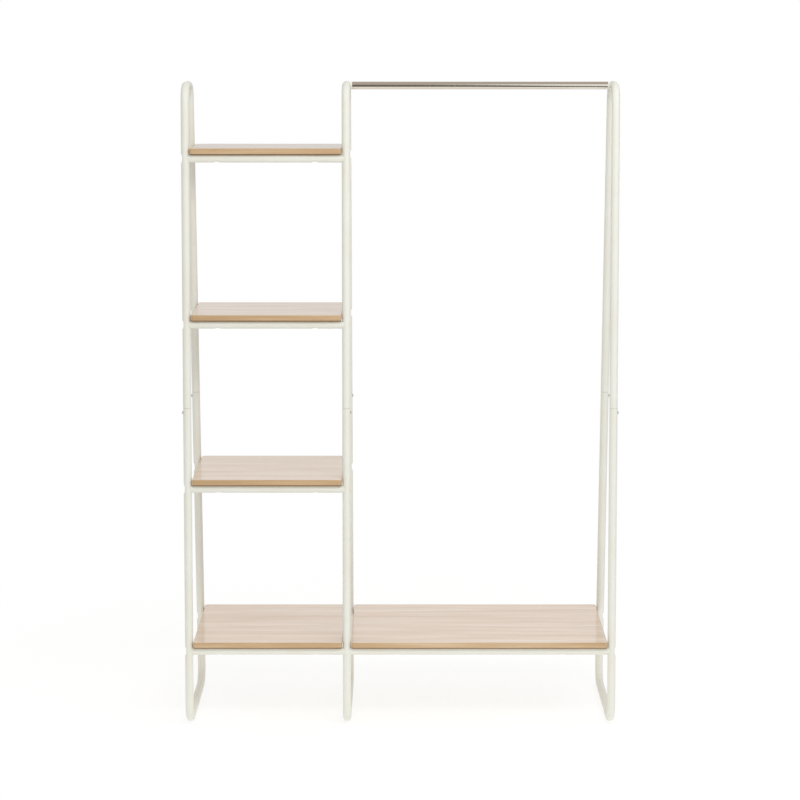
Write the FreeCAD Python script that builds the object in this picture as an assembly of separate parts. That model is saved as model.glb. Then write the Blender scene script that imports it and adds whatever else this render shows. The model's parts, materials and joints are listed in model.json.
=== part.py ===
import FreeCAD, Part
import math
import os
from collections import namedtuple

Vector = FreeCAD.Vector

# Overall sizes, in millimetres
overall_width = 1010.0
overall_height = 1500.0
shelf_bay = 370.0            # axis to axis, left frame to middle frame
crown_spread = 129.0         # between the front and rear post lines, at the crown
floor_spread = 354.0         # the same at the floor runner

# Bent tube of the three frames, each in two halves that meet at mid-height
post_diameter = 19.0
post_wall = 1.0
bend_radius = 40.0           # at the tube's axis
seam_bevel_depth = 0.7       # of the groove where the two halves meet
seam_bevel_height = 1.1      # of each half of that groove
spigot_length = 40.0         # swaged end of the upper half, inside the lower half
spigot_wall = 1.0
spigot_clearance = 0.1
swage_rise = 4.0             # from the seam up to the taper inside the swaged end
swage_length = 4.0           # of that taper
cut_overshoot = 1.0          # by which a bore passes the open end that it cuts

# Rails and boards
rail_diameter = 18.0
rail_wall = 1.0
cope_clearance = 0.1         # between a shaped end and the tube it seats on
bottom_shelf_height = 180.0  # axis of the lowest rails
top_shelf_drop = 174.0       # axis of the highest rails, below the top
board_thickness = 15.0
board_overhang = 16.0        # past the axis of the front and rear rails
board_end_gap = 1.2          # to the posts
board_corner_radius = 7.0
board_edge_radius = 2.0
board_seat_gap = 0.1
level_tolerance = 0.01       # height within which an edge counts as level

# Hanging rod
rod_diameter = 18.0
rod_wall = 1.0
saddle_length = 4.0          # of the collar between a crown and the square end of the rod
saddle_plug_length = 5.0     # of its plug inside the rod

# Countersunk bolts that pull a rail end or a rod end against its frame
bolt_diameter = 6.0
bolt_head_diameter = 10.0
bolt_engagement = 16.0
bolt_clearance = 0.2
socket_width = 4.0           # across the flats
socket_depth = 1.6
dent_depth = 2.8             # pressed seat for the bolt head
dent_shoulder = 7.0
dent_rim = 0.5               # flat floor around the head
dent_lip = 0.15              # lets the shoulder cross the tube's surface at an angle
insert_setback = 3.0         # from the post's surface into the rail
insert_length = 20.0
insert_clearance = 0.05
thread_clearance = 0.05

# Screws that hold a board down on its rails
board_screw_diameter = 4.0
board_screw_head_diameter = 7.0
board_screw_bite = 10.0      # length of thread in the board
board_screw_dent_depth = 2.0
board_screw_dent_shoulder = 4.0
shelf_screw_share = 0.61     # spacing of a rail's screws over its bay, in the tower
long_screw_share = 0.63      # the same under the long shelf
pilot_extra_depth = 1.0

# Small screws that lock the two halves of a frame together
joint_screw_diameter = 4.0
joint_screw_head_diameter = 7.0
joint_screw_head_height = 2.2
joint_screw_head_bevel = 1.0
joint_screw_length = 6.0
joint_screw_drop = 10.0      # below the seam
joint_screw_recess_depth = 1.0
joint_screw_slot_length = 4.0
joint_screw_slot_width = 1.0

# Floor glides
glide_diameter = 15.0
glide_thickness = 2.5        # between the floor and the runner
glide_height = 5.0
glide_chamfer = 0.8
glide_stem_diameter = 6.0
glide_stem_length = 5.0      # above the runner's underside
glide_stem_clearance = 0.1
glide_inset = 66.0           # from the post lines at the floor

post_radius = post_diameter / 2
rail_radius = rail_diameter / 2
rod_radius = rod_diameter / 2
rod_bore = rod_radius - rod_wall
crown_height = overall_height - post_radius
runner_height = glide_thickness + post_radius
seam_height = overall_height / 2
right_frame_x = overall_width / 2 - post_radius
left_frame_x = -right_frame_x
middle_frame_x = left_frame_x + shelf_bay
bolt_radius = bolt_diameter / 2
bolt_length = post_diameter - dent_depth + insert_setback + bolt_engagement
dent_floor = bolt_head_diameter / 2 + dent_rim
board_screw_dent_floor = board_screw_head_diameter / 2 + dent_rim
glide_offset = floor_spread / 2 - glide_inset

right = Vector(1, 0, 0)
left = Vector(-1, 0, 0)
rearward = Vector(0, 1, 0)
up = Vector(0, 0, 1)
down = Vector(0, 0, -1)
sides = {"front": -1, "rear": 1}

# A frame's place, and the side on which its fasteners go in
Frame = namedtuple("Frame", "x outward")
frames = {
    "left": Frame(left_frame_x, left),
    "middle": Frame(middle_frame_x, right),
    "right": Frame(right_frame_x, right),
}

# A shelf's rails, the frames that they join and the spacing of their screws
Shelf = namedtuple("Shelf", "height start_frame end_frame screw_spacing")

# A rail's end on a post, shared where a second rail meets it from the other side
RailEnd = namedtuple("RailEnd", "point side shared")

# A bolt's place on a frame tube's axis, the side it enters and the tube's direction
BoltPlace = namedtuple("BoltPlace", "point outward along")


def shelf_between(start_frame, end_frame, height, screw_share):
    bay = frames[end_frame].x - frames[start_frame].x
    return Shelf(height, start_frame, end_frame, screw_share * bay)


tower_shelves = ("bottom_shelf", "third_shelf", "second_shelf", "top_shelf")
shelf_pitch = (overall_height - top_shelf_drop - bottom_shelf_height) / (len(tower_shelves) - 1)
shelves = {"long_shelf": shelf_between("middle", "right", bottom_shelf_height, long_screw_share)}
for level, tower_shelf in enumerate(tower_shelves):
    tower_height = bottom_shelf_height + level * shelf_pitch
    shelves[tower_shelf] = shelf_between("left", "middle", tower_height, shelf_screw_share)


def save(name, solids):
    """Write one node, a single solid or a group of separate ones."""
    shape = solids[0] if len(solids) == 1 else Part.makeCompound(solids)
    shape.exportStep("parts/" + name + ".step")


def merged(first, others):
    return first.fuse(others).removeSplitter()


def drilled(solid, tools):
    return solid.cut(tools) if tools else solid


def rod_between(start, end, radius):
    return Part.makeCylinder(radius, (end - start).Length, start, end - start)


def bent_path(points):
    """A wire through the points, with every corner turned into a tangent arc."""
    edges = []
    run_start = points[0]
    for before, corner, after in zip(points, points[1:], points[2:]):
        back = (before - corner).normalize()
        ahead = (after - corner).normalize()
        half_angle = back.getAngle(ahead) / 2
        reach = bend_radius / math.tan(half_angle)
        bulge = bend_radius / math.sin(half_angle) - bend_radius
        arc_start = corner + back * reach
        arc_middle = corner + (back + ahead).normalize() * bulge
        arc_end = corner + ahead * reach
        edges.append(Part.LineSegment(run_start, arc_start).toShape())
        edges.append(Part.Arc(arc_start, arc_middle, arc_end).toShape())
        run_start = arc_end
    edges.append(Part.LineSegment(run_start, points[-1]).toShape())
    return Part.Wire(edges)


def bent_bar(points, radius):
    ring = Part.Wire(Part.makeCircle(radius, points[0], points[1] - points[0]))
    return bent_path(points).makePipeShell([ring], True, False)


def post_offset(height):
    """Distance of a post's axis from the middle of the frame, front or rear."""
    share = (crown_height - height) / (crown_height - runner_height)
    return (crown_spread + (floor_spread - crown_spread) * share) / 2


def post_point(frame_name, side, height):
    return Vector(frames[frame_name].x, side * post_offset(height), height)


def post_direction(side):
    """Unit vector up along a leaning post."""
    rise = crown_height - runner_height
    lean = post_offset(crown_height) - post_offset(runner_height)
    return Vector(0, side * lean, rise).normalize()


def seat_tube(point, along):
    """The frame tube that a piece seats on, grown by the fitting clearance."""
    reach = along * post_diameter
    return rod_between(point - reach, point + reach, post_radius + cope_clearance)


def dent(centre, outward, along, width, depth, floor, shoulder):
    """Prism that presses a flat seat with S-curved shoulders into a tube's side.

    The centre lies on the tube's surface, and the floor is half the seat's flat length.
    """
    rise = depth + dent_lip
    turn = 2 * math.atan(rise / shoulder)
    arc_radius = shoulder / (2 * math.sin(turn))
    arc_run = arc_radius * math.sin(turn / 2)
    arc_rise = arc_radius * (1 - math.cos(turn / 2))
    reach = floor + shoulder

    def place(distance, height):
        return centre + along * distance + outward * height

    def shoulder_edges(sign):
        foot = place(sign * floor, -depth)
        foot_arc = place(sign * (floor + arc_run), arc_rise - depth)
        waist = place(sign * (floor + shoulder / 2), rise / 2 - depth)
        crest_arc = place(sign * (reach - arc_run), dent_lip - arc_rise)
        crest = place(sign * reach, dent_lip)
        lower = Part.Arc(foot, foot_arc, waist).toShape()
        upper = Part.Arc(waist, crest_arc, crest).toShape()
        return [lower, upper]

    outline = [place(reach, dent_lip), place(reach, rise), place(-reach, rise), place(-reach, dent_lip)]
    edges = [Part.LineSegment(place(-floor, -depth), place(floor, -depth)).toShape()]
    edges += shoulder_edges(1)
    edges += shoulder_edges(-1)
    edges += [Part.LineSegment(one, two).toShape() for one, two in zip(outline, outline[1:])]
    profile = Part.Face(Part.Wire(Part.__sortEdges__(edges)))
    across = along.cross(outward).normalize() * width
    profile.translate(across / -2)
    return profile.extrude(across)


def bolt_dent(place):
    surface = place.point + place.outward * post_radius
    return dent(surface, place.outward, place.along, post_diameter, dent_depth, dent_floor, dent_shoulder)


def countersunk(seat, inward, length, diameter, head_diameter, clearance=0.0):
    """A countersunk fastener, its flat head at the seat, or the hole for it."""
    radius = diameter / 2 + clearance
    head_radius = head_diameter / 2 + clearance
    head = Part.makeCone(head_radius, radius, head_radius - radius, seat, inward)
    return merged(head, [Part.makeCylinder(radius, length, seat, inward)])


def hex_socket(seat, inward):
    """Prism that cuts a hexagonal socket into the head of a fastener along X."""
    corner_radius = socket_width / math.sqrt(3)
    corners = []
    for step in range(7):
        angle = math.radians(60 * step)
        corners.append(seat + Vector(0, math.sin(angle), math.cos(angle)) * corner_radius)
    return Part.Face(Part.makePolygon(corners)).extrude(inward * socket_depth)


def frame_bolt(place, clearance=0.0):
    """A bolt that enters a frame tube at its dented side and leaves at the far side, or its hole."""
    seat = place.point + place.outward * (post_radius - dent_depth)
    inward = place.outward * -1
    bolt = countersunk(seat, inward, bolt_length, bolt_diameter, bolt_head_diameter, clearance)
    return bolt if clearance else bolt.cut(hex_socket(seat, inward))


def stud(point, clearance=0.0):
    """A headless bolt through a post that has a rail on both sides, or its hole."""
    reach = post_radius + insert_setback + bolt_engagement
    return rod_between(point + left * reach, point + right * reach, bolt_radius + clearance)


def rail_ends(frame_name):
    """The places on a frame's posts where rails meet it."""
    heights = []
    for shelf in shelves.values():
        if frame_name in (shelf.start_frame, shelf.end_frame):
            heights.append(shelf.height)
    ends = []
    for height in sorted(set(heights)):
        for side in sides.values():
            ends.append(RailEnd(post_point(frame_name, side, height), side, heights.count(height) > 1))
    return ends


def rail_bolt_places(frame_name):
    outward = frames[frame_name].outward
    return [BoltPlace(end.point, outward, post_direction(end.side))
            for end in rail_ends(frame_name) if not end.shared]


def stud_points(frame_name):
    return [end.point for end in rail_ends(frame_name) if end.shared]


def rod_end(frame_name):
    return Vector(frames[frame_name].x, 0, crown_height)


rod_bolt_places = {
    "middle": BoltPlace(rod_end("middle"), left, rearward),
    "right": BoltPlace(rod_end("right"), right, rearward),
}


def bored_tube(outer, bore, bolts, holes):
    """A tube whose wall follows the dents of its bolts, drilled for them and for the other holes."""
    wall_dents = []
    bore_dents = []
    for place in bolts:
        pressed = bolt_dent(place)
        wall_dents.append(pressed)
        bore_dents.append(pressed.translated(place.outward * -post_wall))
    tube = drilled(outer, wall_dents).cut(drilled(bore, bore_dents))
    return drilled(tube, holes + [frame_bolt(place, bolt_clearance) for place in bolts])


def joint_screw_axis(frame_name, side):
    """Point on a post's axis at the height of its joint screw."""
    return post_point(frame_name, side, seam_height) - post_direction(side) * joint_screw_drop


def joint_screw_shank(frame_name, side, clearance=0.0):
    outward = frames[frame_name].outward
    surface = joint_screw_axis(frame_name, side) + outward * post_radius
    start = surface + outward * (joint_screw_head_height / 2)
    return rod_between(start, surface - outward * joint_screw_length, joint_screw_diameter / 2 + clearance)


def head_slot(crown, outward, along, across):
    """One arm of the cross recess in the head of a joint screw."""
    reach = along * (joint_screw_slot_length / 2)
    half_width = across * (joint_screw_slot_width / 2)
    corners = [crown + reach + half_width, crown - reach + half_width]
    corners += [crown - reach - half_width, crown + reach - half_width]
    return Part.Face(Part.makePolygon(corners + corners[:1])).extrude(outward * -joint_screw_recess_depth)


def joint_screw(frame_name, side):
    """Pan-head screw through the lower half into the spigot."""
    outward = frames[frame_name].outward
    axis_point = joint_screw_axis(frame_name, side)
    head_radius = joint_screw_head_diameter / 2
    crown = axis_point + outward * (post_radius + joint_screw_head_height)
    shoulder = crown - outward * joint_screw_head_bevel
    head = rod_between(shoulder - outward * joint_screw_head_height, shoulder, head_radius)
    head = head.cut(seat_tube(axis_point, post_direction(side)))
    top_radius = head_radius - joint_screw_head_bevel
    top = Part.makeCone(head_radius, top_radius, joint_screw_head_bevel, shoulder, outward)
    screw = merged(head, [top, joint_screw_shank(frame_name, side)])
    along = post_direction(side)
    across = along.cross(outward)
    return screw.cut([head_slot(crown, outward, along, across), head_slot(crown, outward, across, along)])


def seam_bevel(seam, away):
    """Ring that takes the outer corner off a tube end at the seam."""
    block = Part.makeCylinder(post_radius + seam_bevel_depth, seam_bevel_height, seam, away)
    cone = Part.makeCone(post_radius - seam_bevel_depth, post_radius, seam_bevel_height, seam, away)
    return block.cut(cone)


def half_frame(front_end, rear_end, frame_name, bend_height, radius):
    """A solid bent bar from one open end over the two bends at a height to the other."""
    front_bend = post_point(frame_name, sides["front"], bend_height)
    rear_bend = post_point(frame_name, sides["rear"], bend_height)
    return bent_bar([front_end, front_bend, rear_bend, rear_end], radius)


def post_line(frame_name, distance):
    """Points on a frame's front and rear posts, a distance above the seam along the post."""
    return [post_point(frame_name, side, seam_height) + post_direction(side) * distance
            for side in sides.values()]


def upper_frame(frame_name):
    """Arched tube with swaged ends that plug into the lower half."""
    seams = post_line(frame_name, 0)
    tips = post_line(frame_name, -spigot_length)
    bore_ends = post_line(frame_name, -spigot_length - cut_overshoot)
    swage_feet = post_line(frame_name, swage_rise)
    swage_tops = post_line(frame_name, swage_rise + swage_length)
    bore_radius = post_radius - post_wall
    spigot_radius = bore_radius - spigot_clearance
    spigot_bore = spigot_radius - spigot_wall
    outer = half_frame(*seams, frame_name, crown_height, post_radius)
    bore = half_frame(*swage_tops, frame_name, crown_height, bore_radius)
    spigots = []
    spigot_bores = []
    for index, side in enumerate(sides.values()):
        along = post_direction(side)
        outer = outer.cut(seam_bevel(seams[index], along))
        spigots.append(rod_between(tips[index], swage_feet[index], spigot_radius))
        spigot_bores.append(rod_between(bore_ends[index], swage_feet[index], spigot_bore))
        spigot_bores.append(Part.makeCone(spigot_bore, bore_radius, swage_length, swage_feet[index], along))
    bolts = [place for place in rail_bolt_places(frame_name) if place.point.z > seam_height]
    if frame_name in rod_bolt_places:
        bolts.append(rod_bolt_places[frame_name])
    holes = [joint_screw_shank(frame_name, side, thread_clearance) for side in sides.values()]
    return bored_tube(merged(outer, spigots), merged(bore, spigot_bores), bolts, holes)


def lower_frame(frame_name):
    """Tube with two legs and a floor runner, open at the top for the upper half."""
    seams = post_line(frame_name, 0)
    mouths = post_line(frame_name, cut_overshoot)
    outer = half_frame(*seams, frame_name, runner_height, post_radius)
    bore = half_frame(*mouths, frame_name, runner_height, post_radius - post_wall)
    for seam, side in zip(seams, sides.values()):
        outer = outer.cut(seam_bevel(seam, post_direction(side) * -1))
    bolts = [place for place in rail_bolt_places(frame_name) if place.point.z < seam_height]
    holes = [stud(point, bolt_clearance) for point in stud_points(frame_name)]
    for side in sides.values():
        holes.append(joint_screw_shank(frame_name, side, bolt_clearance))
        holes.append(glide_stem(frame_name, side, glide_stem_clearance))
    return bored_tube(outer, bore, bolts, holes)


def glide_stem(frame_name, side, clearance=0.0):
    foot = Vector(frames[frame_name].x, side * glide_offset, glide_thickness / 2)
    length = glide_thickness / 2 + glide_stem_length
    return Part.makeCylinder(glide_stem_diameter / 2 + clearance, length, foot, up)


def glide(frame_name, side):
    """Moulded pad saddled under the runner, held by a stem in the tube's wall."""
    centre = Vector(frames[frame_name].x, side * glide_offset, 0)
    pad_radius = glide_diameter / 2
    foot = Part.makeCone(pad_radius - glide_chamfer, pad_radius, glide_chamfer, centre, up)
    body = rod_between(centre + up * glide_chamfer, centre + up * glide_height, pad_radius)
    pad = merged(foot, [body]).cut(seat_tube(centre + up * runner_height, rearward))
    return merged(pad, [glide_stem(frame_name, side)])


def screw_points(start, end, spacing):
    """Points on a rail's axis above its board screws."""
    middle = (start + end) / 2
    return [middle + left * (spacing / 2), middle + right * (spacing / 2)]


def board_screw(point, extra=0.0, clearance=0.0):
    """Countersunk screw up through a rail into its board, or the hole for it."""
    seat_drop = rail_radius - board_screw_dent_depth
    length = seat_drop + rail_radius + board_seat_gap + board_screw_bite + extra
    seat = point + down * seat_drop
    return countersunk(seat, up, length, board_screw_diameter, board_screw_head_diameter, clearance)


def rail_axis(shelf, side):
    return [post_point(name, side, shelf.height) for name in (shelf.start_frame, shelf.end_frame)]


def rail(shelf, side):
    """Coped tube with a pressed seat on its underside for each board screw."""
    start, end = rail_axis(shelf, side)
    along = post_direction(side)
    tube = rod_between(start, end, rail_radius).cut([seat_tube(start, along), seat_tube(end, along)])
    bore = rod_between(start, end, rail_radius - rail_wall)
    holes = []
    for point in screw_points(start, end, shelf.screw_spacing):
        surface = point + down * rail_radius
        pressed = dent(surface, down, right, rail_diameter, board_screw_dent_depth,
                       board_screw_dent_floor, board_screw_dent_shoulder)
        tube = tube.cut(pressed)
        bore = bore.cut(pressed.translated(up * rail_wall))
        holes.append(board_screw(point, clearance=thread_clearance))
    return tube.cut(bore).cut(holes)


def insert(point, inward, tube_bore, setback=insert_setback):
    """Threaded plug pressed into a tube's end, for the bolt from the frame."""
    start = point + inward * (post_radius + setback)
    plug = Part.makeCylinder(tube_bore - insert_clearance, insert_length, start, inward)
    return plug.cut(Part.makeCylinder(bolt_radius + thread_clearance, insert_length, start, inward))


def saddle(point, inward):
    """Collar that seats on a crown and plugs into the square end of the rod, bored for the bolt."""
    rod_face = point + inward * (post_radius + saddle_length)
    tip = rod_face + inward * saddle_plug_length
    collar = rod_between(point, rod_face, rod_radius).cut(seat_tube(point, rearward))
    plug = rod_between(rod_face, tip, rod_bore - insert_clearance)
    return merged(collar, [plug]).cut(rod_between(point, tip, bolt_radius + bolt_clearance))


def level_edges(solid):
    return [edge for edge in solid.Edges if edge.BoundBox.ZLength < level_tolerance]


def upright_edges(solid):
    return [edge for edge in solid.Edges if edge.BoundBox.ZLength > level_tolerance]


def board(shelf):
    """Board with rounded corners and eased edges, with pilot holes for its screws."""
    end_inset = post_radius + board_end_gap
    west = frames[shelf.start_frame].x + end_inset
    east = frames[shelf.end_frame].x - end_inset
    half_depth = post_offset(shelf.height) + board_overhang
    base = shelf.height + rail_radius + board_seat_gap
    slab = Part.makeBox(east - west, 2 * half_depth, board_thickness, Vector(west, -half_depth, base))
    slab = slab.makeFillet(board_corner_radius, upright_edges(slab))
    slab = slab.makeFillet(board_edge_radius, level_edges(slab))
    pilots = []
    for side in sides.values():
        for point in screw_points(*rail_axis(shelf, side), shelf.screw_spacing):
            pilots.append(board_screw(point, pilot_extra_depth, thread_clearance))
    return slab.cut(pilots)


def save_frames():
    for name in frames:
        save("upper_frame_" + name, [upper_frame(name)])
        save("lower_frame_" + name, [lower_frame(name)])
        save("joint_screws_" + name, [joint_screw(name, side) for side in sides.values()])
        save("rail_bolts_" + name, [frame_bolt(place) for place in rail_bolt_places(name)])
        for side_name, side in sides.items():
            save(side_name + "_glide_" + name, [glide(name, side)])
    save("rail_studs_middle", [stud(point) for point in stud_points("middle")])


def save_shelves():
    for name, shelf in shelves.items():
        inserts = []
        screws = []
        for side_name, side in sides.items():
            start, end = rail_axis(shelf, side)
            save(name + "_" + side_name + "_rail", [rail(shelf, side)])
            inserts.append(insert(start, right, rail_radius - rail_wall))
            inserts.append(insert(end, left, rail_radius - rail_wall))
            screws += [board_screw(point) for point in screw_points(start, end, shelf.screw_spacing)]
        save(name + "_rail_inserts", inserts)
        save(name + "_board", [board(shelf)])
        save(name + "_screws", screws)


def save_hanging_rod():
    face_distance = post_radius + saddle_length
    inserts = []
    faces = []
    for name, place in rod_bolt_places.items():
        inward = place.outward * -1
        faces.append(place.point + inward * face_distance)
        inserts.append(insert(place.point, inward, rod_bore, saddle_length + saddle_plug_length))
        save("rod_saddle_" + name, [saddle(place.point, inward)])
    save("hanging_rod", [rod_between(*faces, rod_radius).cut(rod_between(*faces, rod_bore))])
    save("rod_inserts", inserts)
    save("rod_bolts", [frame_bolt(place) for place in rod_bolt_places.values()])


os.makedirs("parts", exist_ok=True)
save_frames()
save_shelves()
save_hanging_rod()
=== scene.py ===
import json
import math
import bpy
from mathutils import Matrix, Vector


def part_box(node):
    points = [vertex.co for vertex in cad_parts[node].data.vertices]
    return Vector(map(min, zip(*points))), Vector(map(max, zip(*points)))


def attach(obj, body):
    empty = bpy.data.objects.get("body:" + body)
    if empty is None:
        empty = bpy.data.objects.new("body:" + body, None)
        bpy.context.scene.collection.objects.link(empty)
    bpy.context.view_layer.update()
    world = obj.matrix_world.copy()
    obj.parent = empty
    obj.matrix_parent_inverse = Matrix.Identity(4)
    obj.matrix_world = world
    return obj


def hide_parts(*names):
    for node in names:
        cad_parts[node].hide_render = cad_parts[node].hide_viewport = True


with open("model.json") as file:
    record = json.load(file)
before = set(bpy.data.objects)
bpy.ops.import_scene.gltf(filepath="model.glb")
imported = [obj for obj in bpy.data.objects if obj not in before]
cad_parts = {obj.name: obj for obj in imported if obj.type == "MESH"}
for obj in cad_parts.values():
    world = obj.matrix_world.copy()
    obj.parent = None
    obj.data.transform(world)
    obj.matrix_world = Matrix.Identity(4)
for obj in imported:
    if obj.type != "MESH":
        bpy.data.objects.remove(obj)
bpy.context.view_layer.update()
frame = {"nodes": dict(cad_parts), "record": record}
nodes = frame["nodes"]
print("frame loaded:", len(nodes), "nodes")

mmPerMetre = 1000
# A Mix node's sockets by number, because their names repeat for each data type
factor = 0
floatA, floatB, mixedFloat = 2, 3, 0
vectorA, vectorB, mixedVector = 4, 5, 1
colourA, colourB, mixedColour = 6, 7, 2


def toLinear(hexColour):  # sRGB hex to the linear colour that a socket takes
    channels = [int(hexColour[i:i + 2], 16) / 255 for i in (1, 3, 5)]
    linear = [c / 12.92 if c <= 0.04045 else ((c + 0.055) / 1.055) ** 2.4 for c in channels]
    return (*linear, 1.0)


# Keys of settings are the node's own or its inputs by name or number, and "stops" fills a colour ramp
def addNode(tree, kind, settings=None, links=None):
    node = tree.nodes.new(kind)
    for key, value in (settings or {}).items():
        if key == "stops":
            ramp = node.color_ramp.elements
            while len(ramp) < len(value):
                ramp.new(0.5)
            for stop, (place, colour) in zip(ramp, value):
                stop.position = place
                stop.color = toLinear(colour)
        elif isinstance(key, str) and hasattr(node, key):
            setattr(node, key, value)
        else:
            node.inputs[key].default_value = value
    for key, source in (links or {}).items():
        tree.links.new(source, node.inputs[key])
    return node


def newMaterial(name):
    material = bpy.data.materials.new(name)
    material.use_nodes = True
    tree = material.node_tree
    tree.nodes.clear()
    place = addNode(tree, "ShaderNodeTexCoord").outputs["Object"]
    return material, tree, place


def perMetre(spacings):  # pattern sizes in millimetres to a Mapping scale
    return [mmPerMetre / spacing for spacing in spacings]


powderCoat = {
    "tones": ("#e3e1d5", "#e5e5dc"),  # creamier, ivory
    "spread": (0.35, 0.65),           # of the noise, from the first tone to the last
    "cloud": 90.0,                    # mm, slow drift of film thickness
    "peel": 1.6,                      # mm, orange peel, twice as coarse as real so that it shows close up
    "peelHeight": 0.00003,            # m
    "peelStrength": 0.5,
    "gloss": (0.36, 0.47),
    "ior": 1.5,
    # painted shade: a greyer tone where the seam's groove lies in shade
    "seamShade": "#cbc8ba",
    "seamHeight": 0.750,              # m, where the two halves of a frame meet
    "seamReach": 0.12084,             # m, from the frame's middle to a post there
    "lean": 0.07609,                  # sideways run of a post for each metre of height
    "seamHalf": (0.0003, 0.0009),     # m, half of the groove and where its painted shade ends
}


# Powder coat baked on steel tube: satin ivory and a little orange peel, with painted shade in the groove of
# the seam
def makePowderCoat(look):
    material, tree, place = newMaterial("ivoryPowderCoat")
    cloud = addNode(tree, "ShaderNodeTexNoise", {"Scale": mmPerMetre / look["cloud"], "Detail": 3.0},
                    {"Vector": place})
    tone = addNode(tree, "ShaderNodeValToRGB", {"stops": list(zip(look["spread"], look["tones"]))},
                   {"Fac": cloud.outputs["Fac"]})
    axes = addNode(tree, "ShaderNodeSeparateXYZ", None, {"Vector": place})
    reach = addNode(tree, "ShaderNodeMath", {"operation": "ABSOLUTE"}, {0: axes.outputs["Y"]})
    offset = look["seamReach"] * look["lean"] - look["seamHeight"]
    seamPlane = addNode(tree, "ShaderNodeMath", {"operation": "MULTIPLY_ADD", 1: -look["lean"], 2: offset},
                        {0: reach.outputs[0]})  # square to the leaning post
    distance = addNode(tree, "ShaderNodeMath", {"operation": "ADD"},
                       {0: axes.outputs["Z"], 1: seamPlane.outputs[0]})
    away = addNode(tree, "ShaderNodeMath", {"operation": "ABSOLUTE"}, {0: distance.outputs[0]})
    groove, grooveEnd = look["seamHalf"]
    # painted shade in the seam's groove, fading out across it
    inSeamShade = addNode(tree, "ShaderNodeMapRange",
                     {"From Min": groove, "From Max": grooveEnd, "To Min": 1.0, "To Max": 0.0},
                     {"Value": away.outputs[0]})
    colour = addNode(tree, "ShaderNodeMix", {"data_type": "RGBA", colourB: toLinear(look["seamShade"])},
                     {factor: inSeamShade.outputs[0], colourA: tone.outputs["Color"]})
    peel = addNode(tree, "ShaderNodeTexNoise", {"Scale": mmPerMetre / look["peel"], "Detail": 1.0},
                   {"Vector": place})
    bump = addNode(tree, "ShaderNodeBump", {"Strength": look["peelStrength"], "Distance": look["peelHeight"]},
                   {"Height": peel.outputs["Fac"]})
    gloss = addNode(tree, "ShaderNodeMapRange", {"To Min": look["gloss"][0], "To Max": look["gloss"][1]},
                    {"Value": cloud.outputs["Fac"]})
    shader = addNode(tree, "ShaderNodeBsdfPrincipled", {"IOR": look["ior"]},
                     {"Base Color": colour.outputs[mixedColour], "Roughness": gloss.outputs[0],
                      "Normal": bump.outputs["Normal"]})
    addNode(tree, "ShaderNodeOutputMaterial", None, {"Surface": shader.outputs["BSDF"]})
    return material


oakPrint = {
    "flame": (700.0, 150.0, 150.0),   # mm, how slowly the figure wanders
    "flameSway": 0.018,               # m
    "bands": (480.0, 34.0, 34.0),     # mm, broad pale and dark bands along the board
    "streaks": (190.0, 5.0, 5.0),     # mm, grain lines
    "pores": (26.0, 1.3, 1.3),        # mm, short open pores, coarser than real so that they show
    "details": {"bands": 2.0, "streaks": 5.0, "pores": 2.0},
    "roughening": 0.6,                # of all three, how strong the finer detail is
    "streakShare": 0.42,
    "spread": (0.38, 0.5, 0.62),
    "faceTones": ("#d5bea8", "#ddc7b2", "#e5d3c2"),
    "bandTones": ("#ba9a72", "#c7a881", "#d1b693"),
    "poreTone": "#a98a6c",
    "poreSpread": (0.60, 0.72),
    "poreShare": 0.35,
    "poreDepth": 0.00003,             # m
    "poreStrength": 0.4,
    "faceGloss": (0.08, 0.15),
    "bandGloss": (0.30, 0.42),
    "ior": 1.5,
    "endNormal": 0.71,                # past this the band has turned the corner to a board's end
}


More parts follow.
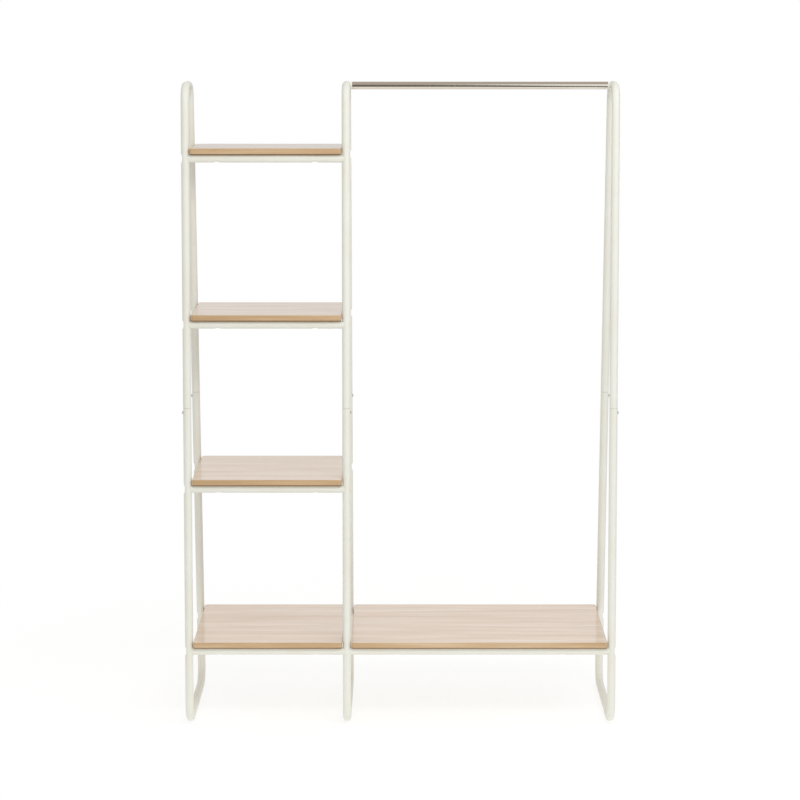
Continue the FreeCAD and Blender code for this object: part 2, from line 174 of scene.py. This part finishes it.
# Melamine foil with a pale oak print: glossy on the face and satin on the edge band, with straight grain
# that wanders a little and fine pores pressed into the foil
def makeOak(name, tones, look, gloss, turnsAtEnds):
    material, tree, place = newMaterial(name)
    if turnsAtEnds:  # the edge band's grain runs round the board, so X and Y change places on its ends
        axes = addNode(tree, "ShaderNodeSeparateXYZ", None, {"Vector": place})
        turned = addNode(tree, "ShaderNodeCombineXYZ", None,
                         {"X": axes.outputs["Y"], "Y": axes.outputs["X"], "Z": axes.outputs["Z"]})
        facing = addNode(tree, "ShaderNodeSeparateXYZ", None,
                         {"Vector": addNode(tree, "ShaderNodeNewGeometry").outputs["Normal"]})
        sideways = addNode(tree, "ShaderNodeMath", {"operation": "ABSOLUTE"}, {0: facing.outputs["X"]})
        onEnd = addNode(tree, "ShaderNodeMath", {"operation": "GREATER_THAN", 1: look["endNormal"]},
                        {0: sideways.outputs[0]})
        place = addNode(tree, "ShaderNodeMix", {"data_type": "VECTOR"},
                        {factor: onEnd.outputs[0], vectorA: place, vectorB: turned.outputs["Vector"]}
                        ).outputs[mixedVector]
    slow = addNode(tree, "ShaderNodeMapping", {"Scale": perMetre(look["flame"])}, {"Vector": place})
    flame = addNode(tree, "ShaderNodeTexNoise", {"Scale": 1.0, "Detail": 2.0},
                    {"Vector": slow.outputs["Vector"]})
    sway = addNode(tree, "ShaderNodeMapRange", {"To Min": -look["flameSway"], "To Max": look["flameSway"]},
                   {"Value": flame.outputs["Fac"]})
    shift = addNode(tree, "ShaderNodeCombineXYZ", None, {"Y": sway.outputs[0], "Z": sway.outputs[0]})
    grainPlace = addNode(tree, "ShaderNodeVectorMath", {"operation": "ADD"},
                         {0: place, 1: shift.outputs["Vector"]}).outputs["Vector"]
    patterns = {}
    for pattern, detail in look["details"].items():
        stretched = addNode(tree, "ShaderNodeMapping", {"Scale": perMetre(look[pattern])},
                            {"Vector": grainPlace})
        noise = addNode(tree, "ShaderNodeTexNoise",
                        {"Scale": 1.0, "Detail": detail, "Roughness": look["roughening"]},
                        {"Vector": stretched.outputs["Vector"]})
        patterns[pattern] = noise.outputs["Fac"]
    grain = addNode(tree, "ShaderNodeMix", {"data_type": "FLOAT", factor: look["streakShare"]},
                    {floatA: patterns["bands"], floatB: patterns["streaks"]})
    tone = addNode(tree, "ShaderNodeValToRGB", {"stops": list(zip(look["spread"], tones))},
                   {"Fac": grain.outputs[mixedFloat]})
    pore = addNode(tree, "ShaderNodeMapRange",
                   {"From Min": look["poreSpread"][0], "From Max": look["poreSpread"][1],
                    "To Min": 0.0, "To Max": look["poreShare"]}, {"Value": patterns["pores"]})
    colour = addNode(tree, "ShaderNodeMix", {"data_type": "RGBA", colourB: toLinear(look["poreTone"])},
                     {factor: pore.outputs[0], colourA: tone.outputs["Color"]})
    bump = addNode(tree, "ShaderNodeBump",
                   {"Strength": look["poreStrength"], "Distance": look["poreDepth"], "invert": True},
                   {"Height": pore.outputs[0]})
    sheen = addNode(tree, "ShaderNodeMapRange", {"To Min": gloss[0], "To Max": gloss[1]},
                    {"Value": patterns["streaks"]})
    shader = addNode(tree, "ShaderNodeBsdfPrincipled", {"IOR": look["ior"]},
                     {"Base Color": colour.outputs[mixedColour], "Roughness": sheen.outputs[0],
                      "Normal": bump.outputs["Normal"]})
    addNode(tree, "ShaderNodeOutputMaterial", None, {"Surface": shader.outputs["BSDF"]})
    return material


rimShadeLook = {
    # dark browns painted as the shade along the boards' lower edge
    "tones": ("#6f543c", "#8a6c4f"),
    "spread": (0.35, 0.65),
    "fleck": 0.8,                     # mm
    "fleckHeight": 0.0001,            # m
    "fleckStrength": 0.5,
    "roughness": 0.85,
    "ior": 1.45,
}


# Painted shade on the rounded lower edge, where the edge band stops: matt, dark brown and flecked
def makeRimShade(look):
    material, tree, place = newMaterial("bareFibreboard")
    fleck = addNode(tree, "ShaderNodeTexNoise", {"Scale": mmPerMetre / look["fleck"], "Detail": 3.0},
                    {"Vector": place})
    tone = addNode(tree, "ShaderNodeValToRGB", {"stops": list(zip(look["spread"], look["tones"]))},
                   {"Fac": fleck.outputs["Fac"]})
    bump = addNode(tree, "ShaderNodeBump",
                   {"Strength": look["fleckStrength"], "Distance": look["fleckHeight"]},
                   {"Height": fleck.outputs["Fac"]})
    shader = addNode(tree, "ShaderNodeBsdfPrincipled", {"Roughness": look["roughness"], "IOR": look["ior"]},
                     {"Base Color": tone.outputs["Color"], "Normal": bump.outputs["Normal"]})
    addNode(tree, "ShaderNodeOutputMaterial", None, {"Surface": shader.outputs["BSDF"]})
    return material


balancePaper = {
    "tones": ("#e0d6c6", "#e6ddcf"),
    "spread": (0.35, 0.65),
    "cloud": 30.0,                    # mm
    "roughness": 0.6,
    "ior": 1.5,
}


# Balance paper glued under the board: plain, matt and slightly cloudy
def makeBalancePaper(look):
    material, tree, place = newMaterial("balancePaper")
    cloud = addNode(tree, "ShaderNodeTexNoise", {"Scale": mmPerMetre / look["cloud"], "Detail": 4.0},
                    {"Vector": place})
    tone = addNode(tree, "ShaderNodeValToRGB", {"stops": list(zip(look["spread"], look["tones"]))},
                   {"Fac": cloud.outputs["Fac"]})
    shader = addNode(tree, "ShaderNodeBsdfPrincipled", {"Roughness": look["roughness"], "IOR": look["ior"]},
                     {"Base Color": tone.outputs["Color"]})
    addNode(tree, "ShaderNodeOutputMaterial", None, {"Surface": shader.outputs["BSDF"]})
    return material


chrome = {
    "tones": ("#e2dbcf", "#ebe5da"),
    "spread": (0.35, 0.65),
    "drawLines": (180.0, 0.9, 0.9),   # mm, coarser than real so that they show
    "lineHeight": 0.000004,           # m
    "lineStrength": 0.5,
    "gloss": (0.05, 0.14),
}


# Chrome plate on drawn steel tube: a clear warm mirror, with faint lines along the rod from polishing
def makeChrome(look):
    material, tree, place = newMaterial("polishedChrome")
    stretched = addNode(tree, "ShaderNodeMapping", {"Scale": perMetre(look["drawLines"])}, {"Vector": place})
    lines = addNode(tree, "ShaderNodeTexNoise", {"Scale": 1.0, "Detail": 3.0},
                    {"Vector": stretched.outputs["Vector"]})
    tone = addNode(tree, "ShaderNodeValToRGB", {"stops": list(zip(look["spread"], look["tones"]))},
                   {"Fac": lines.outputs["Fac"]})
    gloss = addNode(tree, "ShaderNodeMapRange", {"To Min": look["gloss"][0], "To Max": look["gloss"][1]},
                    {"Value": lines.outputs["Fac"]})
    bump = addNode(tree, "ShaderNodeBump", {"Strength": look["lineStrength"], "Distance": look["lineHeight"]},
                   {"Height": lines.outputs["Fac"]})
    shader = addNode(tree, "ShaderNodeBsdfPrincipled", {"Metallic": 1.0},
                     {"Base Color": tone.outputs["Color"], "Roughness": gloss.outputs[0],
                      "Normal": bump.outputs["Normal"]})
    addNode(tree, "ShaderNodeOutputMaterial", None, {"Surface": shader.outputs["BSDF"]})
    return material


zinc = {
    "tones": ("#dcdad2", "#e8e6de"),
    "spread": (0.1, 0.9),
    "spangle": 2.2,                   # mm
    "gloss": (0.40, 0.55),
}


# Zinc plated steel: pale grey, half bright, with small crystals that catch the light unevenly
def makeZinc(look):
    material, tree, place = newMaterial("zincPlatedSteel")
    crystals = addNode(tree, "ShaderNodeTexVoronoi", {"Scale": mmPerMetre / look["spangle"]},
                       {"Vector": place})
    tone = addNode(tree, "ShaderNodeValToRGB", {"stops": list(zip(look["spread"], look["tones"]))},
                   {"Fac": crystals.outputs["Color"]})
    gloss = addNode(tree, "ShaderNodeMapRange", {"To Min": look["gloss"][0], "To Max": look["gloss"][1]},
                    {"Value": crystals.outputs["Color"]})
    shader = addNode(tree, "ShaderNodeBsdfPrincipled", {"Metallic": 1.0},
                     {"Base Color": tone.outputs["Color"], "Roughness": gloss.outputs[0]})
    addNode(tree, "ShaderNodeOutputMaterial", None, {"Surface": shader.outputs["BSDF"]})
    return material


polyethylene = {
    "tones": ("#e2dfd4", "#e9e6dc"),
    "spread": (0.3, 0.7),
    "grain": 0.9,                     # mm, coarser than real so that it shows close up
    "grainHeight": 0.00004,           # m
    "grainStrength": 0.5,
    "roughness": 0.5,
    "ior": 1.51,
}


# Moulded polyethylene: waxy and pale, with the fine grain of its mould
def makePolyethylene(look):
    material, tree, place = newMaterial("mouldedPolyethylene")
    grain = addNode(tree, "ShaderNodeTexNoise", {"Scale": mmPerMetre / look["grain"], "Detail": 2.0},
                    {"Vector": place})
    tone = addNode(tree, "ShaderNodeValToRGB", {"stops": list(zip(look["spread"], look["tones"]))},
                   {"Fac": grain.outputs["Fac"]})
    bump = addNode(tree, "ShaderNodeBump",
                   {"Strength": look["grainStrength"], "Distance": look["grainHeight"]},
                   {"Height": grain.outputs["Fac"]})
    shader = addNode(tree, "ShaderNodeBsdfPrincipled", {"Roughness": look["roughness"], "IOR": look["ior"]},
                     {"Base Color": tone.outputs["Color"], "Normal": bump.outputs["Normal"]})
    addNode(tree, "ShaderNodeOutputMaterial", None, {"Surface": shader.outputs["BSDF"]})
    return material


oakFace = makeOak("oakFoilFace", oakPrint["faceTones"], oakPrint, oakPrint["faceGloss"], False)
finishes = {
    "frame_paint": makePowderCoat(powderCoat),
    "board_laminate": oakFace,
    "rod_chrome": makeChrome(chrome),
    "fastener_steel": makeZinc(zinc),
    "glide_plastic": makePolyethylene(polyethylene),
}
for part in frame["record"]["subparts"]:
    slots = nodes[part["node"]].data.materials
    slots.clear()
    slots.append(finishes[part["material_slot"]])
print("finishes on the CAD nodes")


def pick(piece, kind, test):  # selects edges or faces by place or normal, and stays in edit mode
    bpy.ops.object.mode_set(mode="EDIT")
    bpy.ops.mesh.select_mode(type=kind)
    bpy.ops.mesh.select_all(action="DESELECT")
    bpy.ops.object.mode_set(mode="OBJECT")
    corners = piece.data.vertices
    for item in piece.data.edges if kind == "EDGE" else piece.data.polygons:
        item.select = test(item, [corners[i].co for i in item.vertices])
    bpy.ops.object.mode_set(mode="EDIT")


shelfBoard = {
    "cornerRadius": 0.007,  # m, seen from above
    "cornerSteps": 8,
    "upperEase": 0.0014,    # m
    "lowerEase": 0.0027,    # m, rounded, and painted with shade below the edge band
    "easeSteps": 4,
    "level": 0.0001,        # m, within which two heights are the same
    "flat": 0.95,           # upright share of a normal, past which a face is the top or the underside
    "smoothAngle": 40.0,    # degrees
}
boardFinishes = [
    oakFace,
    makeOak("oakEdgeBand", oakPrint["bandTones"], oakPrint, oakPrint["bandGloss"], True),
    # painted shade on the lower rim of each board
    makeRimShade(rimShadeLook),
    makeBalancePaper(balancePaper),
]


def makeBoard(node, shape):
    low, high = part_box(node)
    bpy.ops.object.select_all(action="DESELECT")
    bpy.ops.mesh.primitive_cube_add(size=1.0, location=(low + high) / 2)
    board = bpy.context.object
    board.name = node.replace("_board", "Board").replace("_shelf", "Shelf")
    bpy.ops.transform.resize(value=high - low)
    bpy.ops.object.transform_apply(location=True, rotation=True, scale=True)
    level, flat = shape["level"], shape["flat"]
    pick(board, "EDGE", lambda edge, ends: abs(ends[0].z - ends[1].z) > level)
    bpy.ops.mesh.bevel(offset=shape["cornerRadius"], segments=shape["cornerSteps"], affect="EDGES")
    pick(board, "EDGE", lambda edge, ends: min(ends[0].z, ends[1].z) > high.z - level)
    bpy.ops.mesh.bevel(offset=shape["upperEase"], segments=shape["easeSteps"], affect="EDGES")
    pick(board, "EDGE", lambda edge, ends: max(ends[0].z, ends[1].z) < low.z + level)
    bpy.ops.mesh.bevel(offset=shape["lowerEase"], segments=shape["easeSteps"], affect="EDGES")
    for finish in boardFinishes:
        board.data.materials.append(finish)
    bandFoot = low.z + shape["lowerEase"]
    regions = (  # edge band, rim of painted shade, underside; the top keeps the first finish
        lambda face, ends: face.normal.z < flat and min(end.z for end in ends) > bandFoot - level,
        lambda face, ends: face.normal.z > -flat and max(end.z for end in ends) < bandFoot + level,
        lambda face, ends: face.normal.z < -flat,
    )
    for index, test in enumerate(regions, start=1):
        pick(board, "FACE", test)
        board.active_material_index = index
        bpy.ops.object.material_slot_assign()
    bpy.ops.object.mode_set(mode="OBJECT")
    bpy.ops.object.shade_smooth_by_angle(angle=math.radians(shape["smoothAngle"]))
    evenNormals = board.modifiers.new("evenNormals", "WEIGHTED_NORMAL")
    evenNormals.keep_sharp = True
    bpy.ops.object.modifier_apply(modifier=evenNormals.name)
    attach(board, "root")
    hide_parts(node)


for part in frame["record"]["subparts"]:
    if part["node"].endswith("_board"):
        makeBoard(part["node"], shelfBoard)
print("boards made")


def seenShare(tree):  # rays that show the white room: to the camera, in a mirror and through glass
    path = addNode(tree, "ShaderNodeLightPath").outputs
    straight = addNode(tree, "ShaderNodeMath", {"operation": "MAXIMUM"},
                       {0: path["Is Camera Ray"], 1: path["Is Transmission Ray"]})
    return addNode(tree, "ShaderNodeMath", {"operation": "MAXIMUM"},
                   {0: straight.outputs[0], 1: path["Is Glossy Ray"]}).outputs[0]


paperFloor = {
    "radius": 1.7,               # m
    "sides": 96,
    "tone": "#b4b4b2",
    "fill": 0.66,                # its own light, as on a light table, so that the feet aren't dark
    "seenTone": "#949493",       # the part of its shading that the camera sees, so that a shadow shows
    "seenGlow": 0.74,
    "shadowReach": (0.9, 1.65),  # m from the middle, where the paper fades into the white room
    "farInMirror": 0.30,         # a mirror sees the paper's far rim darker, as the room's floor is
}


# White backdrop paper: matt and plain, with a soft shadow near the feet and no edge in sight
def makePaper(look):
    material, tree, place = newMaterial("whitePaperFloor")
    sheet = addNode(tree, "ShaderNodeBsdfDiffuse", {"Color": toLinear(look["tone"])})
    fill = addNode(tree, "ShaderNodeEmission", {"Strength": look["fill"]})
    paper = addNode(tree, "ShaderNodeAddShader", None, {0: sheet.outputs[0], 1: fill.outputs[0]})
    shaded = addNode(tree, "ShaderNodeBsdfDiffuse", {"Color": toLinear(look["seenTone"])})
    glow = addNode(tree, "ShaderNodeEmission", {"Strength": look["seenGlow"]})
    near = addNode(tree, "ShaderNodeAddShader", None, {0: shaded.outputs[0], 1: glow.outputs[0]})
    inMirror = addNode(tree, "ShaderNodeLightPath").outputs["Is Glossy Ray"]
    farGlow = addNode(tree, "ShaderNodeMapRange", {"To Min": 1.0, "To Max": look["farInMirror"]},
                      {"Value": inMirror})
    far = addNode(tree, "ShaderNodeEmission", None, {"Strength": farGlow.outputs[0]})
    distance = addNode(tree, "ShaderNodeVectorMath", {"operation": "LENGTH"}, {0: place})
    fade = addNode(tree, "ShaderNodeMapRange",
                   {"interpolation_type": "SMOOTHSTEP", "From Min": look["shadowReach"][0],
                    "From Max": look["shadowReach"][1]}, {"Value": distance.outputs["Value"]})
    seen = addNode(tree, "ShaderNodeMixShader", None,
                   {0: fade.outputs[0], 1: near.outputs[0], 2: far.outputs[0]})
    mixed = addNode(tree, "ShaderNodeMixShader", None,
                    {0: seenShare(tree), 1: paper.outputs[0], 2: seen.outputs[0]})
    addNode(tree, "ShaderNodeOutputMaterial", None, {"Surface": mixed.outputs[0]})
    return material


bpy.ops.object.select_all(action="DESELECT")
bpy.ops.mesh.primitive_circle_add(vertices=paperFloor["sides"], radius=paperFloor["radius"], fill_type="NGON",
                                  location=(0, 0, 0))
floor = bpy.context.object
floor.name = "studioFloor"
floor.data.materials.append(makePaper(paperFloor))

room = {
    "light": 0.45,                       # soft light before the slope is added
    "lightSlope": (0.06, -0.12, 0.53),   # it grows upwards, to the camera's side and a little to the right
    "lightBelow": 0.62,                  # from the floor beyond the paper
    "skirting": (-0.08, 0.08),           # where the room's floor gives way to its walls
    # What a mirror sees, from the back over the floor, the camera's side and the ceiling to the back again
    "leftBands": [
        (0.00, "#cacaca"), (0.15, "#dddcdb"), (0.27, "#dddcda"), (0.33, "#dcd9d6"), (0.385, "#c4bfb9"),
        (0.43, "#8d877f"), (0.455, "#4c4943"), (0.50, "#46433d"), (0.52, "#918a82"), (0.56, "#a09991"),
        (0.64, "#bcb5ae"), (0.75, "#b4ada7"), (0.88, "#c8c5c2"), (0.955, "#ffffff"), (1.00, "#cacaca"),
    ],
    "rightBands": [  # with the white panel at the camera's right
        (0.00, "#cacaca"), (0.15, "#d8d7d6"), (0.27, "#ccc9c6"), (0.33, "#857f78"), (0.37, "#46433d"),
        (0.415, "#3c3934"), (0.435, "#b0aba5"), (0.45, "#ffffff"), (1.00, "#ffffff"),
    ],
    "panelEnters": (0.012, 0.040),       # sideways direction over which the panel comes into a mirror's view
    "panelSlant": (0.012, 0.0805),       # and over which its lower edge falls
    "panelFall": 0.15,
    "panelTop": (0.585, 0.610),
}


# White studio: the camera sees plain white, mirrors see the bands, and all else gets the soft light
def makeRoom(look):
    world = bpy.data.worlds.new("whiteStudio")
    world.use_nodes = True
    tree = world.node_tree
    tree.nodes.clear()
    direction = addNode(tree, "ShaderNodeTexCoord").outputs["Generated"]
    axes = addNode(tree, "ShaderNodeSeparateXYZ", None, {"Vector": direction})
    slope = addNode(tree, "ShaderNodeVectorMath", {"operation": "DOT_PRODUCT", 1: look["lightSlope"]},
                    {0: direction})
    sloped = addNode(tree, "ShaderNodeMath", {"operation": "ADD", 1: look["light"]},
                     {0: slope.outputs["Value"]})
    above = addNode(tree, "ShaderNodeMapRange",
                    {"From Min": look["skirting"][0], "From Max": look["skirting"][1]},
                    {"Value": axes.outputs["Z"]})
    light = addNode(tree, "ShaderNodeMix", {"data_type": "FLOAT", floatA: look["lightBelow"]},
                    {factor: above.outputs[0], floatB: sloped.outputs[0]})
    frontward = addNode(tree, "ShaderNodeMath", {"operation": "MULTIPLY", 1: -1.0}, {0: axes.outputs["Y"]})
    turn = addNode(tree, "ShaderNodeMath", {"operation": "ARCTAN2"},
                   {0: axes.outputs["Z"], 1: frontward.outputs[0]})
    share = addNode(tree, "ShaderNodeMapRange", {"From Min": -math.pi, "From Max": math.pi},
                    {"Value": turn.outputs[0]})
    leftBands = addNode(tree, "ShaderNodeValToRGB", {"stops": look["leftBands"]}, {"Fac": share.outputs[0]})
    lift = addNode(tree, "ShaderNodeMapRange",
                   {"From Min": look["panelSlant"][0], "From Max": look["panelSlant"][1],
                    "To Min": -look["panelFall"], "To Max": 0.0}, {"Value": axes.outputs["X"]})
    slanted = addNode(tree, "ShaderNodeMath", {"operation": "ADD"}, {0: share.outputs[0], 1: lift.outputs[0]})
    rightBands = addNode(tree, "ShaderNodeValToRGB", {"stops": look["rightBands"]},
                         {"Fac": slanted.outputs[0]})
    entered = addNode(tree, "ShaderNodeMapRange",
                      {"From Min": look["panelEnters"][0], "From Max": look["panelEnters"][1]},
                      {"Value": axes.outputs["X"]})
    underTop = addNode(tree, "ShaderNodeMapRange",
                       {"From Min": look["panelTop"][0], "From Max": look["panelTop"][1],
                        "To Min": 1.0, "To Max": 0.0}, {"Value": share.outputs[0]})
    panelShare = addNode(tree, "ShaderNodeMath", {"operation": "MULTIPLY"},
                         {0: entered.outputs[0], 1: underTop.outputs[0]})
    bands = addNode(tree, "ShaderNodeMix", {"data_type": "RGBA"},
                    {factor: panelShare.outputs[0], colourA: leftBands.outputs["Color"],
                     colourB: rightBands.outputs["Color"]})
    mirrored = addNode(tree, "ShaderNodeMix", {"data_type": "RGBA"},
                       {factor: seenShare(tree), colourA: light.outputs[mixedFloat],
                        colourB: bands.outputs[mixedColour]})
    toCamera = addNode(tree, "ShaderNodeLightPath").outputs["Is Camera Ray"]
    backdrop = addNode(tree, "ShaderNodeMix", {"data_type": "RGBA", colourB: (1, 1, 1, 1)},
                       {factor: toCamera, colourA: mirrored.outputs[mixedColour]})
    sky = addNode(tree, "ShaderNodeBackground", {"Strength": 1.0}, {"Color": backdrop.outputs[mixedColour]})
    addNode(tree, "ShaderNodeOutputWorld", None, {"Surface": sky.outputs[0]})
    return world


bpy.context.scene.world = makeRoom(room)

lamps = {  # places, aims and sizes in metres, power in watts
    "frontPanel": {"place": (0.9, -4.8, 1.3), "aim": (0, 0, 0.75), "size": (4.0, 1.6), "power": 12.0},
    "highPanel": {"place": (0.6, -1.8, 2.2), "aim": (0.15, 0, 1.5), "size": (2.4, 0.7), "power": 20.0},
}
for name, lamp in lamps.items():
    data = bpy.data.lights.new(name, "AREA")
    data.shape = "RECTANGLE"
    data.size, data.size_y = lamp["size"]
    data.energy = lamp["power"]
    panel = bpy.data.objects.new(name, data)
    bpy.context.scene.collection.objects.link(panel)
    panel.location = lamp["place"]
    facing = Vector(lamp["aim"]) - Vector(lamp["place"])
    panel.rotation_euler = facing.to_track_quat("-Z", "Y").to_euler()
    panel.visible_glossy = False  # mirrors show the room's own bands
print("studio lit")

view = {
    "place": (-0.0009, -5.5846, 1.6885),  # m
    "pitch": 9.545,                       # degrees below level
    "focalPixels": 2384.9,
    "frameSide": 800,                     # pixels
    "sensor": 36.0,                       # mm
    "farLimit": 100.0,                    # m
}
cameraData = bpy.data.cameras.new("photoCamera")
cameraData.sensor_width = view["sensor"]
cameraData.lens = view["focalPixels"] / view["frameSide"] * view["sensor"]
cameraData.clip_end = view["farLimit"]
camera = bpy.data.objects.new("photoCamera", cameraData)
bpy.context.scene.collection.objects.link(camera)
camera.location = view["place"]
camera.rotation_euler = (math.radians(90 - view["pitch"]), 0, 0)
bpy.context.scene.camera = camera
bpy.context.scene.view_settings.view_transform = "Standard"
print("camera placed")
